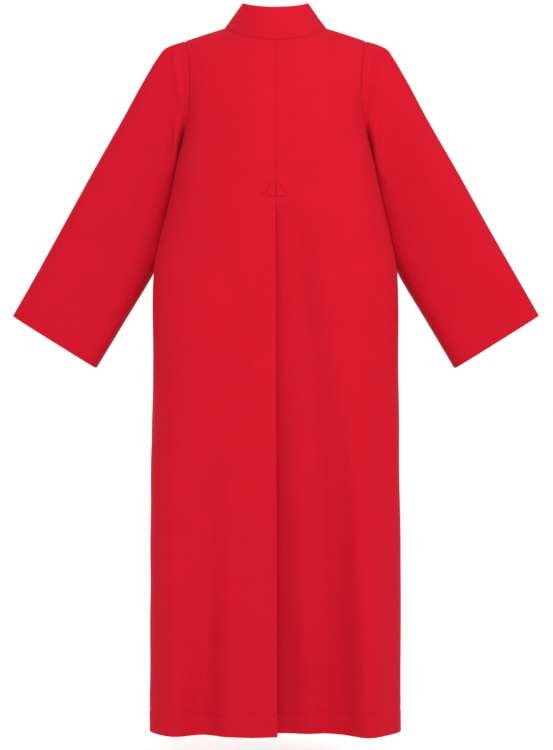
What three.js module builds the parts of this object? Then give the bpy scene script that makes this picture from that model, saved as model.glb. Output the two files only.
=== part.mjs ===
// Cassock: an ankle-length robe with a stand collar, a buttoned front, wide set-in sleeves, and
// one deep pleat down the back below a short centre seam. It keeps the hollow form it has when
// it is worn: open at the neck, the cuffs and the hem, with only the cloth's own thickness.
// Millimetres. +Z is up, the front faces -Y, and +X is the wearer's left. The origin is the
// middle of the neck, level with the points where the shoulder seams meet the collar.
import * as THREE from 'three';

// ---------------------------------------------------------------- Driving sizes
const WALL = 1.6; // thickness of the cloth
const SEAM = 0.3; // space between two pieces where they are sewn together
const BACK = 1; // the two faces of the body, as the sign of Y
const FRONT = -1;
const LEFT = 1; // the wearer's two sides, as the sign of X
const RIGHT = -1;

// The neckline is half an ellipse on each face. It dips towards the centre line, by a power of
// its depth, `bend`, that makes it leave the shoulder level at the front.
const NECK = {
  half: 100.5,
  deep: { [BACK]: 72, [FRONT]: 82 },
  drop: { [BACK]: 32, [FRONT]: 80 },
  bend: { [BACK]: 1.3, [FRONT]: 2 },
};
const SHOULDER = { half: 180.5, z: -26 }; // top of the armhole
const UNDERARM_Z = -235;
const HEM_Z = -1400;

// The body tube below the armholes: half its width, its depth behind and before the side seams,
// and how square its section is (2 is an ellipse).
const BODY = [
  { z: HEM_Z, half: 250, back: 92, front: 98, square: 3.0 },
  { z: -1000, half: 249, back: 102, front: 105, square: 2.8 },
  { z: -732, half: 246, back: 110, front: 111, square: 2.6 },
  { z: -490, half: 242.5, back: 116, front: 115, square: 2.4 },
  { z: -416, half: 230, back: 116, front: 116, square: 2.35 },
  { z: -342, half: 212, back: 115, front: 116, square: 2.3 },
  { z: UNDERARM_Z, half: 189, back: 113, front: 115, square: 2.3 },
];

// The armhole seam, from the shoulder (down 0) to the underarm (down 1): its distance from the
// centre line. The body's section would run on past it, by EASE of its width at the shoulder.
const ARMHOLE = [
  { down: 0.0, half: SHOULDER.half },
  { down: 0.15, half: 174.5 },
  { down: 0.3, half: 171.5 },
  { down: 0.5, half: 170.5 },
  { down: 0.7, half: 173.5 },
  { down: 0.86, half: 180 },
  { down: 1.0, half: 189 },
];
const EASE = 0.16;
const ROUND = { neck: 1.5, shoulder: 2.5 }; // how round the cloth turns over at the top

// The back pleat: the left back's folded edge lies over the right back, and both run on under
// it, one back from the fold and one below, to a hidden seam.
const PLEAT = {
  top: -335, // where the centre seam ends
  lead: 50, // height over which the right back starts to sink above that
  edge: { top: 0, hem: 3.5 }, // how far the folded edge passes the centre line
  tuck: { top: 16, hem: 70 }, // width of the hidden layers
  fold: 3.5, // depth of the turned edge
  slope: { top: 4.5, hem: 34 }, // how far the hidden seam lies inside the folded edge
  sink: { top: 7, hem: 46 }, // how far the right back sinks beside the folded edge
  middle: { top: 50, hem: 135 }, // where the sunk strip rises again, from the centre line
  rise: { top: 25, hem: 52 }, // half the width of that rise
};

// The large hanging folds, a row each: the height where it begins, its distance from the centre
// line there and at the hem, half its width, and how far it stands out at the hem (a trough is
// negative).
const FOLDS = [
  { panel: 'back_left', start: -430, from: 40, to: 46, reach: 44, stand: 6 },
  { panel: 'back_left', start: -640, from: 124, to: 140, reach: 50, stand: -24 },
  { panel: 'back_left', start: -480, from: 196, to: 206, reach: 42, stand: 14 },
  { panel: 'back_right', start: -560, from: 45, to: 62, reach: 30, stand: 12 },
  { panel: 'back_right', start: -420, from: 165, to: 186, reach: 52, stand: 24 },
  { panel: 'front_left', start: -520, from: 70, to: 84, reach: 46, stand: -16 },
  { panel: 'front_left', start: -400, from: 150, to: 168, reach: 52, stand: 15 },
  { panel: 'front_right', start: -600, from: 92, to: 112, reach: 50, stand: -20 },
  { panel: 'front_right', start: -460, from: 180, to: 192, reach: 46, stand: 13 },
];

// The fronts lap over the centre line, the left front outside the right one.
const LAP = { over: 18, tuck: 3.1, blend: 24 };

// The sleeve's rings, from the armhole to the cuff. Each runs from an outer point to an inner
// one (x, y and z of both) and stands this far behind and before the line between them.
const SLEEVE = [
  { outX: 180.5, outY: 0, outZ: -26, inX: 189, inY: 0, inZ: -235, back: 66, front: 62 },
  { outX: 203, outY: 0, outZ: -33, inX: 195.5, inY: -9, inZ: -247, back: 59, front: 60 },
  { outX: 221, outY: -1, outZ: -42, inX: 200, inY: -22, inZ: -266, back: 61, front: 58 },
  { outX: 237, outY: -3, outZ: -62, inX: 205, inY: -36, inZ: -292, back: 59, front: 55 },
  { outX: 265, outY: -8, outZ: -107, inX: 211, inY: -48, inZ: -334, back: 53, front: 51 },
  { outX: 307.5, outY: -18, outZ: -182, inX: 219, inY: -57, inZ: -385, back: 47, front: 47 },
  { outX: 360, outY: -30, outZ: -272, inX: 230, inY: -61, inZ: -441, back: 43, front: 43 },
  { outX: 419.5, outY: -42, outZ: -377, inX: 250, inY: -63, inZ: -487, back: 41, front: 41 },
  { outX: 476, outY: -54, outZ: -475, inX: 305, inY: -69, inZ: -577, back: 40, front: 40 },
  { outX: 533, outY: -64, outZ: -572, inX: 365.5, inY: -74, inZ: -677, back: 38, front: 38 },
];
const SLEEVE_SQUARE = 2.15;
const SLEEVE_HEAD = 2.5; // rings over which the sleeve's start takes the armhole's exact shape

// The stand collar: half its width, depth and height along its top edge.
const COLLAR_TOP = { half: 65, deep: { [BACK]: 50, [FRONT]: 80 }, z: 50, drop: { [BACK]: 16, [FRONT]: 65 } };
const COLLAR_GAP = 1.2; // between its ends at the centre front, as an angle in degrees
const COLLAR_LIFT = { middle: 1.3, side: 2 }; // its lower edge stands this far above the neckline

const BUTTON = { count: 12, first: -112, pitch: 74, radius: 7.5, height: 4.6 };

// How finely each piece is divided. The columns follow the neckline at the top of a panel, and
// crowd towards the side seam, by CROWD, lower down.
const ARMHOLE_STEPS = 9;
const NECK_STEPS = 7;
const SHOULDER_STEPS = { [BACK]: 6, [FRONT]: 5 };
const CROWD = 0.75;
const BACK_LEVELS = [-268, -300, -335, -365, -420, -490, -580, -690, -810, -940, -1070, -1190, -1300, HEM_Z];
const FRONT_LEVELS = [-280, -340, -416, -490, -600, -740, -890, -1050, -1230, HEM_Z];
const HIDDEN = { back_left: [1, 0.5, 0], back_right: [1, 0.5] };
const SLEEVE_STEPS = [0, 0.5, 1, 1.5, 2, 2.6, 3.3, 4, 5, 6, 7, 8, 9];
const COLLAR_UP = 3;

// ---------------------------------------------------------------- Materials
const cloth = () => new THREE.MeshStandardMaterial({ color: 0xd3202f, roughness: 0.82, metalness: 0 });
const button = () => new THREE.MeshStandardMaterial({ color: 0xc21a2a, roughness: 0.7, metalness: 0 });

// ---------------------------------------------------------------- Small helpers
const { lerp, smoothstep } = THREE.MathUtils;
const smooth = (share) => smoothstep(share, 0, 1);
const between = (pair, share) => lerp(pair.top, pair.hem, share);

// A smooth curve through one column of a table, against another column in rising order. Its
// slope at a row is the harmonic mean of the slopes on both sides, and level at a turning point.
function curve(table, key, column) {
  const slope = (row) => (table[row + 1][column] - table[row][column]) / (table[row + 1][key] - table[row][key]);
  const tangent = table.map((_, row) => {
    if (row === 0) return slope(0);
    if (row === table.length - 1) return slope(row - 1);
    const [before, after] = [slope(row - 1), slope(row)];
    return before * after > 0 ? (2 * before * after) / (before + after) : 0;
  });
  return (at) => {
    const next = table.findIndex((row, index) => index > 0 && at <= row[key]);
    const row = next < 0 ? table.length - 2 : next - 1;
    const span = table[row + 1][key] - table[row][key];
    const t = (at - table[row][key]) / span;
    const start = (1 + 2 * t) * (1 - t) ** 2 * table[row][column] + t * (1 - t) ** 2 * span * tangent[row];
    const end = t ** 2 * (3 - 2 * t) * table[row + 1][column] + t ** 2 * (t - 1) * span * tangent[row + 1];
    return start + end;
  };
}

// A closed wall of cloth on a grid of points. It keeps only the cells that `keep` allows, takes
// half its thickness to each side along the cloth's own normal, and closes its open edges.
// `level(row, column)` names the axis that a seam's edge is square to, so both sides match.
function wall(grid, { keep = () => true, level = () => null } = {}) {
  const [rows, columns] = [grid.length, grid[0].length];
  const corner = (row, column) => row * columns + column;
  const points = grid.flat();
  const normals = points.map(() => new THREE.Vector3());
  const cells = [];
  for (let row = 0; row < rows - 1; row += 1) {
    for (let column = 0; column < columns - 1; column += 1) {
      if (!keep(row, column)) continue;
      const cell = [corner(row, column), corner(row, column + 1), corner(row + 1, column + 1), corner(row + 1, column)];
      const across = points[cell[2]].clone().sub(points[cell[0]]);
      const normal = across.cross(points[cell[3]].clone().sub(points[cell[1]]));
      cell.forEach((index) => normals[index].add(normal));
      cells.push(cell);
    }
  }
  normals.forEach((normal, index) => {
    const axis = level(Math.floor(index / columns), index % columns);
    if (axis) normal[axis] = 0;
    normal.normalize().multiplyScalar(WALL / 2);
  });
  const faces = [];
  const quad = (a, b, c, d) => faces.push([a, b, c], [a, c, d]);
  const outer = (index) => points[index].clone().add(normals[index]);
  const inner = (index) => points[index].clone().sub(normals[index]);
  const edges = new Set(cells.flatMap((cell) => cell.map((from, side) => `${from} ${cell[(side + 1) % 4]}`)));
  for (const cell of cells) {
    quad(...cell.map(outer));
    quad(...[cell[0], cell[3], cell[2], cell[1]].map(inner));
    cell.forEach((from, side) => {
      const to = cell[(side + 1) % 4];
      if (!edges.has(`${to} ${from}`)) quad(outer(to), outer(from), inner(from), inner(to));
    });
  }
  const geometry = new THREE.BufferGeometry().setFromPoints(faces.flat());
  geometry.computeVertexNormals();
  return geometry;
}

// ---------------------------------------------------------------- The body's cloth
const bodyHalf = curve(BODY, 'z', 'half');
const bodyDepth = { [BACK]: curve(BODY, 'z', 'back'), [FRONT]: curve(BODY, 'z', 'front') };
const bodySquare = curve(BODY, 'z', 'square');
const armholeHalf = curve(ARMHOLE, 'down', 'half');

const PANELS = {
  back_left: { face: BACK, side: LEFT, levels: BACK_LEVELS },
  back_right: { face: BACK, side: RIGHT, levels: BACK_LEVELS },
  front_left: { face: FRONT, side: LEFT, levels: FRONT_LEVELS },
  front_right: { face: FRONT, side: RIGHT, levels: FRONT_LEVELS },
};

// `down` runs from 0 at the neckline and shoulder to 1 at the underarm and 2 at the hem.
const downAt = (z) => 1 + (UNDERARM_Z - z) / (UNDERARM_Z - HEM_Z);
const pleatShare = (z) => Math.max(0, (PLEAT.top - z) / (PLEAT.top - HEM_Z));

// The top edge at a distance from the centre line: the neckline's half ellipse, then the
// straight shoulder seam.
function topEdge(face, distance) {
  const out = Math.abs(distance) / NECK.half;
  if (out >= 1) {
    const along = (Math.abs(distance) - NECK.half) / (SHOULDER.half - NECK.half);
    return { y: SEAM / 2, z: along * SHOULDER.z };
  }
  const arc = Math.sqrt(1 - out * out);
  return { y: Math.max(SEAM / 2, NECK.deep[face] * arc), z: -NECK.drop[face] * arc ** NECK.bend[face] };
}

// How far the large folds move a panel's cloth out at a distance from the centre line.
function foldStand(name, distance, z) {
  return FOLDS.filter((fold) => fold.panel === name && z < fold.start).reduce((sum, fold) => {
    const share = (fold.start - z) / (fold.start - HEM_Z);
    const off = (distance - lerp(fold.from, fold.to, share)) / fold.reach;
    return Math.abs(off) < 1 ? sum + fold.stand * smooth(share) * Math.cos((off * Math.PI) / 2) ** 2 : sum;
  }, 0);
}

// How far the right back sinks beside the pleat's folded edge.
function pleatSink(distance, z) {
  const share = pleatShare(z);
  const start = smooth((PLEAT.top + PLEAT.lead - z) / PLEAT.lead) * PLEAT.sink.top;
  const depth = start + (PLEAT.sink.hem - PLEAT.sink.top) * share ** 0.8;
  const middle = between(PLEAT.middle, 1 - (1 - share) ** 2);
  const half = between(PLEAT.rise, share);
  return depth * (1 - smoothstep(distance, middle - half, middle + half));
}

// Where a panel's inner edge lies: past the centre line on a front and at the folded edge.
function innerEdge(name, z) {
  if (PANELS[name].face === FRONT) return -LAP.over;
  if (name === 'back_left' && z <= PLEAT.top) return -between(PLEAT.edge, pleatShare(z));
  return SEAM / 2;
}

// A point of a panel, `across` from 0 at its inner edge to 1 at the side. The section is
// y = depth * (1 - (x / half)^square)^(1 / square). Above the underarm the cloth rises from the
// top edge to that section along a rounded quarter turn.
function panelPoint(name, across, down) {
  const { face, side } = PANELS[name];
  const share = Math.min(down, 1);
  const top = topEdge(face, lerp(innerEdge(name, 0), SHOULDER.half, across));
  const z = down < 1 ? lerp(top.z, UNDERARM_Z, share) : lerp(UNDERARM_Z, HEM_Z, down - 1);
  const half = down < 1 ? armholeHalf(share) : bodyHalf(z);
  const level = Math.min(z, UNDERARM_Z);
  const x = lerp(innerEdge(name, z), half, across);
  const reach = 1 - EASE * (1 - share ** 2) ** 1.5;
  const square = bodySquare(level);
  const section = bodyDepth[face](level) * (1 - ((Math.abs(x) * reach) / half) ** square) ** (1 / square);
  const round = lerp(ROUND.neck, ROUND.shoulder, smooth(Math.abs(x) / SHOULDER.half));
  let y = lerp(top.y, section, (1 - (1 - share) ** round) ** (1 / round));
  y += foldStand(name, x, z);
  if (name === 'back_right') y -= pleatSink(x, z);
  if (name === 'front_right') y -= LAP.tuck * (1 - smoothstep(x, LAP.over, LAP.over + LAP.blend));
  return new THREE.Vector3(side * x, face * Math.max(y, SEAM / 2), z);
}

// A point of the pleat's hidden layers, `under` from 0 at the folded edge to 1 at the hidden
// seam. The left one runs back from the fold, and the right one lies below it.
function hiddenPoint(name, under, z) {
  const share = pleatShare(z);
  const tuck = between(PLEAT.tuck, share);
  const edge = panelPoint('back_left', 0, downAt(z));
  const seamY = edge.y - between(PLEAT.slope, share);
  if (name === 'back_left') {
    return new THREE.Vector3(lerp(edge.x + PLEAT.fold * 0.8, tuck, under), lerp(edge.y - PLEAT.fold, seamY, under), z);
  }
  const start = panelPoint('back_right', 0, downAt(z));
  return new THREE.Vector3(lerp(start.x, tuck, under), lerp(start.y, seamY - WALL - SEAM, under), z);
}

// Where a panel's columns lie, `across` at its top edge and again from the underarm down.
function panelColumns(name) {
  const { face } = PANELS[name];
  const start = innerEdge(name, 0);
  const top = face === FRONT ? [start] : [];
  for (let step = 0; step <= NECK_STEPS; step += 1) {
    const distance = NECK.half * Math.sin((step * Math.PI) / 2 / NECK_STEPS);
    top.push(step === 0 && face === BACK ? start : distance);
  }
  const neck = top.length - 1;
  for (let step = 1; step <= SHOULDER_STEPS[face]; step += 1) {
    top.push(lerp(NECK.half, SHOULDER.half, step / SHOULDER_STEPS[face]));
  }
  const columns = top.map((distance, index) => {
    const share = index / (top.length - 1);
    const low = lerp(share, Math.sin((share * Math.PI) / 2), CROWD);
    return { top: (distance - start) / (SHOULDER.half - start), low };
  });
  return { columns, neck };
}

function bodyPanel(name) {
  const { face, levels } = PANELS[name];
  const { columns, neck } = panelColumns(name);
  const hidden = HIDDEN[name] ?? [];
  const downs = [];
  for (let step = 0; step <= ARMHOLE_STEPS; step += 1) {
    downs.push((1 - Math.cos((step * Math.PI) / ARMHOLE_STEPS)) / 2);
  }
  levels.forEach((z) => downs.push(downAt(z)));
  const pleatRow = downs.indexOf(downAt(PLEAT.top));
  const heightAt = (down) => Math.min(PLEAT.top, lerp(UNDERARM_Z, HEM_Z, down - 1));
  const grid = downs.map((down) => [
    ...hidden.map((under) => hiddenPoint(name, under, heightAt(down))),
    ...columns.map(({ top, low }) => panelPoint(name, lerp(top, low, smooth(down)), down)),
  ]);
  const last = grid[0].length - 1;
  const level = (row, column) => {
    if (column === last && row >= ARMHOLE_STEPS) return 'y';
    if (row === 0 && column >= hidden.length + neck) return 'y';
    return face === BACK && column === hidden.length && row < pleatRow ? 'x' : null;
  };
  return wall(grid, { keep: (row, column) => column >= hidden.length || row >= pleatRow, level });
}

// ---------------------------------------------------------------- The sleeves
const SLEEVE_ROWS = SLEEVE.map((row, ring) => ({ ring, ...row }));
const sleeveCurve = (column) => curve(SLEEVE_ROWS, 'ring', column);
const sleeveOut = ['outX', 'outY', 'outZ'].map(sleeveCurve);
const sleeveIn = ['inX', 'inY', 'inZ'].map(sleeveCurve);
const sleeveDeep = { [BACK]: sleeveCurve('back'), [FRONT]: sleeveCurve('front') };

// The exact armhole, `around` from 0 at the shoulder to half a turn at the underarm. It is moved
// out by a seam's space, and by the walls too at the underarm, where they lie side by side.
function armholePoint(side, face, around) {
  const point = panelPoint(face === BACK ? 'back_left' : 'front_left', 1, (1 - Math.cos(around)) / 2);
  const under = smooth((1 - Math.cos(around)) / 2);
  point.x += SEAM * 2 + (WALL + SEAM) * under;
  point.x *= side;
  return point;
}

// A point of a sleeve: a superellipse about the line between its ring's outer and inner points,
// eased into the armhole's exact shape over the first rings.
function sleevePoint(side, face, around, ring) {
  const power = 2 / SLEEVE_SQUARE;
  const swing = Math.sign(Math.cos(around)) * Math.abs(Math.cos(around)) ** power;
  const tube = (at) => {
    const out = new THREE.Vector3(...sleeveOut.map((value) => value(at)));
    const point = new THREE.Vector3(...sleeveIn.map((value) => value(at))).lerp(out, (1 + swing) / 2);
    point.y += face * sleeveDeep[face](at) * Math.abs(Math.sin(around)) ** power;
    point.x *= side;
    return point;
  };
  const start = armholePoint(side, face, around).sub(tube(0)).multiplyScalar(1 - smooth(ring / SLEEVE_HEAD));
  return tube(ring).add(start);
}

// Each sleeve is two half tubes, behind and before, that meet along its outer and inner edges.
function sleeve(side, face) {
  const start = face === BACK ? 0 : ARMHOLE_STEPS;
  const grid = SLEEVE_STEPS.map((ring) => {
    const row = [];
    for (let step = 0; step <= ARMHOLE_STEPS; step += 1) {
      const nearSeam = step === 0 || step === ARMHOLE_STEPS;
      const point = sleevePoint(side, face, ((start + step) * Math.PI) / ARMHOLE_STEPS, ring);
      if (nearSeam) point.y += face * SEAM * 0.7;
      row.push(point);
    }
    return row;
  });
  const level = (_, column) => (column === 0 || column === ARMHOLE_STEPS ? 'y' : null);
  return wall(grid, { level });
}

// ---------------------------------------------------------------- The collar
// A point of the stand collar: `turn` is 0 at the centre back and half a turn at the centre
// front, and `up` runs from its seam on the neckline to its top edge.
function collarPoint(turn, up) {
  const [swing, reach] = [Math.sin(turn), Math.cos(turn)];
  const face = reach >= 0 ? BACK : FRONT;
  const lift = lerp(COLLAR_LIFT.middle, COLLAR_LIFT.side, swing * swing);
  const dip = Math.abs(reach) ** NECK.bend[face];
  const base = new THREE.Vector3(NECK.half * swing, NECK.deep[face] * reach, lift - NECK.drop[face] * dip);
  const topZ = COLLAR_TOP.z - COLLAR_TOP.drop[face] * dip;
  return base.lerp(new THREE.Vector3(COLLAR_TOP.half * swing, COLLAR_TOP.deep[face] * reach, topZ), up);
}

function collar() {
  const end = THREE.MathUtils.degToRad(180 - COLLAR_GAP / 2);
  const around = 4 * NECK_STEPS;
  const grid = [];
  for (let up = 0; up <= COLLAR_UP; up += 1) {
    const row = [];
    for (let step = 0; step <= around; step += 1) {
      const turn = (step * 2 * Math.PI) / around - Math.PI;
      row.push(collarPoint(THREE.MathUtils.clamp(turn, -end, end), up / COLLAR_UP));
    }
    grid.push(row);
  }
  return wall(grid);
}

// ---------------------------------------------------------------- The buttons
// A flat-backed dome, turned about its own axis.
function buttonShape() {
  const profile = [
    new THREE.Vector2(0, 0),
    new THREE.Vector2(BUTTON.radius * 0.86, 0),
    new THREE.Vector2(BUTTON.radius, BUTTON.height * 0.35),
    new THREE.Vector2(BUTTON.radius * 0.72, BUTTON.height * 0.82),
    new THREE.Vector2(0, BUTTON.height),
  ];
  return new THREE.LatheGeometry(profile, 10);
}

// A button stands on the left front's cloth at the centre line, square to the cloth.
function placeButton(mesh, z) {
  const across = LAP.over / (LAP.over + bodyHalf(Math.min(z, UNDERARM_Z)));
  const at = (level) => {
    if (level <= UNDERARM_Z) return panelPoint('front_left', across, downAt(level));
    const down = (level + NECK.drop[FRONT]) / (UNDERARM_Z + NECK.drop[FRONT]);
    return panelPoint('front_left', LAP.over / (LAP.over + armholeHalf(down)), down);
  };
  const step = BUTTON.radius;
  const fall = at(z - step).sub(at(z + step));
  const out = new THREE.Vector3(0, fall.z, -fall.y).normalize();
  mesh.quaternion.setFromUnitVectors(new THREE.Vector3(0, 1, 0), out);
  mesh.position.copy(at(z)).addScaledVector(out, WALL / 2 + SEAM * 1.5);
}

// ---------------------------------------------------------------- The whole garment
const cassock = new THREE.Group();

function add(name, geometry, material) {
  const mesh = new THREE.Mesh(geometry, material);
  mesh.name = name;
  cassock.add(mesh);
  return mesh;
}

Object.keys(PANELS).forEach((name) => add(name, bodyPanel(name), cloth()));
add('sleeve_left_back', sleeve(LEFT, BACK), cloth());
add('sleeve_left_front', sleeve(LEFT, FRONT), cloth());
add('sleeve_right_back', sleeve(RIGHT, BACK), cloth());
add('sleeve_right_front', sleeve(RIGHT, FRONT), cloth());
add('collar', collar(), cloth());
for (let index = 0; index < BUTTON.count; index += 1) {
  const mesh = add(`button_${String(index + 1).padStart(2, '0')}`, buttonShape(), button());
  placeButton(mesh, BUTTON.first - index * BUTTON.pitch);
}

export default cassock;
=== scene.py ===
# %% [markdown]
# # A cassock, in the form it has when it is worn
# A cassock is an ankle-length robe: four long panels, two sleeves, a stand collar, and a row of
# covered buttons down the front. This notebook dresses the plain CAD garment in real cloth.
# Everything is worked out in millimetres, in the CAD's own frame: +Z is up, the front faces -Y,
# +X is the wearer's left, and the origin is the middle of the neck. The points become metres
# when they are put into a mesh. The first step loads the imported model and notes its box.

import bmesh
import bpy
import numpy as np
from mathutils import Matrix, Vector


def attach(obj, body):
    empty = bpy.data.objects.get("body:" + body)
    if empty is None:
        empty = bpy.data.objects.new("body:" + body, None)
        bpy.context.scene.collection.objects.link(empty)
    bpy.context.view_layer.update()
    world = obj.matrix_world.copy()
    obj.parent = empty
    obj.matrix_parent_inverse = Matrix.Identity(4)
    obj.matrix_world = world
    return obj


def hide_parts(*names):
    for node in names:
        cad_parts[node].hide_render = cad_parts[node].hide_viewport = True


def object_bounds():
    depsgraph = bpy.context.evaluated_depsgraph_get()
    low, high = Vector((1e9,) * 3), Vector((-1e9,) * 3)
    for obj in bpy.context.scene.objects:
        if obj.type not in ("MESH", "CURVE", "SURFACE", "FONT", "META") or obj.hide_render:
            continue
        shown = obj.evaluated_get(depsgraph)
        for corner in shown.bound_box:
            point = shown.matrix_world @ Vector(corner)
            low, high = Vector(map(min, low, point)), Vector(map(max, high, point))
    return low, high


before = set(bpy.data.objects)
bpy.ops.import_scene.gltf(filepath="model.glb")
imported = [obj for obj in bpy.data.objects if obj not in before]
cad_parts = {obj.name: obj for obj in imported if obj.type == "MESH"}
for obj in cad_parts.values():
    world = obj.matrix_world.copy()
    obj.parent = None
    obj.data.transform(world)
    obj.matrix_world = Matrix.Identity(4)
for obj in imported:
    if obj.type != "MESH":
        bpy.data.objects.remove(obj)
cad_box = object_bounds()
print("CAD box, m:", [round(v, 3) for corner in cad_box for v in corner])

# %% [markdown]
# ## The garment's sizes
# A tailor drafts a garment from a table of measures. These are the CAD garment's, because the
# cloth has to lie where its solids are.

# %% Sizes of the neck, the body and the armhole
BACK, FRONT, LEFT, RIGHT = 1, -1, 1, -1
CLOTH = 0.9  # thickness of the cloth


def table(columns, *rows):
    """A dictionary of columns, as arrays."""
    return dict(zip(columns.split(), np.array(rows, float).T))


NECK = {"half": 100.5, "deep": {BACK: 72, FRONT: 82}, "drop": {BACK: 32, FRONT: 80}}
NECK_BEND = {BACK: 1.3, FRONT: 2}
SHOULDER = {"half": 180.5, "z": -26}
UNDERARM_Z, HEM_Z = -235, -1400
EASE = 0.16  # the section's corners move out by this share at the top edge
ROUND = {"neck": 1.5, "shoulder": 2.5}  # power of the turn over the top edge
BODY = table(
    "z half back front square",
    (HEM_Z, 250, 92, 98, 3.0),
    (-1000, 249, 102, 105, 2.8),
    (-732, 246, 110, 111, 2.6),
    (-490, 242.5, 116, 115, 2.4),
    (-416, 230, 116, 116, 2.35),
    (-342, 212, 115, 116, 2.3),
    (UNDERARM_Z, 189, 113, 115, 2.3),
)
ARMHOLE = table(
    "down half",
    (0, 180.5), (0.15, 174.5), (0.3, 171.5), (0.5, 170.5), (0.7, 173.5), (0.86, 180), (1, 189),
)

# %% [markdown]
# The pleat, the large folds and the lap of the fronts have measures of their own. A fold that
# hangs from the hips starts at nothing and grows towards the hem, so each row says where it
# begins, where it runs to, how wide it is and how far it stands out. A negative one is a trough.

# %% Sizes of the pleat, the folds and the lap
PLEAT_TOP = -346
SEAM_ROLL, FOLD_ROLL = 0.75, 1.75  # radii of the centre seam's edge and the pleat's folded one
PLEAT = {  # each from the pleat's top to the hem
    "edge": (0, 3.5), "tuck": (16, 70), "slope": (4.5, 34),
    "sink": (7, 46), "middle": (50, 135), "rise": (25, 52),
}
FOLD_ROWS = {
    "back_left": [(-430, 40, 46, 44, 6), (-640, 124, 140, 50, -24), (-480, 196, 206, 42, 14)],
    "back_right": [(-560, 45, 66, 42, 9), (-420, 165, 186, 56, 24)],
    "front_left": [(-520, 70, 84, 46, -16), (-400, 150, 168, 52, 15)],
    "front_right": [(-600, 92, 112, 50, -20), (-460, 180, 192, 46, 13)],
}
FOLDS = {name: table("start from to reach stand", *rows) for name, rows in FOLD_ROWS.items()}
LAP = {"over": 18, "tuck": 3.1, "blend": 24}
PANELS = {
    "back_left": (BACK, LEFT),
    "back_right": (BACK, RIGHT),
    "front_left": (FRONT, LEFT),
    "front_right": (FRONT, RIGHT),
}
print("large folds:", {name: len(rows["start"]) for name, rows in FOLDS.items()})

# %% [markdown]
# ## Curves through the tables
# Between two rows of a table the cloth has to run on smoothly, without the waves that an
# ordinary spline adds. A cubic whose slope is the harmonic mean of the slopes on both sides
# does that, and it lies level wherever the column turns back.


# %% Smooth steps and curves
def mix(start, end, share):
    """start + (end - start) * share."""
    return start + (end - start) * share


def smoothstep(value, low, high):
    """3t^2 - 2t^3, with t running from 0 at `low` to 1 at `high`."""
    t = np.clip((value - low) / (high - low), 0, 1)
    return t * t * (3 - 2 * t)


def smooth(share):
    """smoothstep from 0 to 1."""
    return smoothstep(share, 0, 1)


def signed_power(wave, power):
    """sign(wave) * |wave|^power."""
    return np.sign(wave) * np.abs(wave) ** power


def curve(rows, key, column):
    """A function of `key` that runs smoothly through a column: on each span the cubic
    (1+2t)(1-t)^2 a + t^2(3-2t) b + (t(1-t)^2 p - t^2(1-t) q) * span, with slopes p and q."""
    at, value = rows[key], rows[column]
    slope = np.diff(value) / np.diff(at)
    turning = slope[:-1] * slope[1:] <= 0
    total = np.where(turning, 1, slope[:-1] + slope[1:])
    inner = np.where(turning, 0, 2 * slope[:-1] * slope[1:] / total)
    tangent = np.concatenate([slope[:1], inner, slope[-1:]])

    def value_at(place):
        place = np.clip(place, at[0], at[-1])
        row = np.clip(np.searchsorted(at, place) - 1, 0, len(at) - 2)
        span = at[row + 1] - at[row]
        t = (place - at[row]) / span
        start = (1 + 2 * t) * (1 - t) ** 2 * value[row] + t * (1 - t) ** 2 * span * tangent[row]
        end = t**2 * (3 - 2 * t) * value[row + 1] - t**2 * (1 - t) * span * tangent[row + 1]
        return start + end

    return value_at


body_half, body_square = curve(BODY, "z", "half"), curve(BODY, "z", "square")
body_depth = {BACK: curve(BODY, "z", "back"), FRONT: curve(BODY, "z", "front")}
armhole_half = curve(ARMHOLE, "down", "half")
print("half width 0.9 m down, mm:", round(float(body_half(-900)), 1))

# %% [markdown]
# ## The body's cloth
# On the real garment a panel hangs from the neckline and the shoulder seam, turns over the
# shoulder blades, and falls to the hem. It could be draped by a simulation, but a worn garment
# with no wearer has nothing to drape on, so the panel is a surface of two parameters: `across`
# from its inner edge to the side, and `down` from 0 at the top edge to 1 at the underarm and 2
# at the hem.


# %% The top edge, the folds and the pleat
def top_edge(face, distance):
    """y and z of the neckline and shoulder seam: half an ellipse, whose dip is a power of its
    depth, and then a straight line down to the shoulder."""
    out = np.clip(np.abs(distance) / NECK["half"], 0, 1)
    arc = np.sqrt(1 - out**2)
    along = (np.abs(distance) - NECK["half"]) / (SHOULDER["half"] - NECK["half"])
    z = np.maximum(along, 0) * SHOULDER["z"] - NECK["drop"][face] * arc ** NECK_BEND[face]
    return NECK["deep"][face] * arc, z


def fold_stand(name, distance, z):
    """The sum of stand * smooth(share) * cos^2 of how far off each fold's middle a point is."""
    total = 0
    for start, near, far, reach, stand in zip(*FOLDS[name].values()):
        share = np.maximum((start - z) / (start - HEM_Z), 0)
        off = np.clip((distance - mix(near, far, share)) / reach, -1, 1)
        total = total + stand * smooth(share) * np.cos(off * np.pi / 2) ** 2
    return total


def pleat_share(z):
    """0 at the pleat's top and above, 1 at the hem."""
    return np.maximum((PLEAT_TOP - z) / (PLEAT_TOP - HEM_Z), 0)


def pleat_size(size, z, power=1):
    """One of the pleat's sizes at a height."""
    return mix(*PLEAT[size], pleat_share(z) ** power)


def pleat_sink(distance, z):
    """How far the right back sinks beside the folded edge: deep at the edge, and rising to
    nothing over a smooth step further out."""
    share = pleat_share(z)
    depth = smooth((PLEAT_TOP - z) / 50) * PLEAT["sink"][0]
    depth = depth + (PLEAT["sink"][1] - PLEAT["sink"][0]) * share**0.8
    middle, half = mix(*PLEAT["middle"], 1 - (1 - share) ** 2), pleat_size("rise", z)
    return depth * (1 - smoothstep(distance, middle - half, middle + half))


# %% [markdown]
# An edge that is folded or seamed is never sharp: the cloth rolls over it. `roll` is that
# radius, small on the pressed centre seam and larger on the pleat's soft folded edge.


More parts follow.
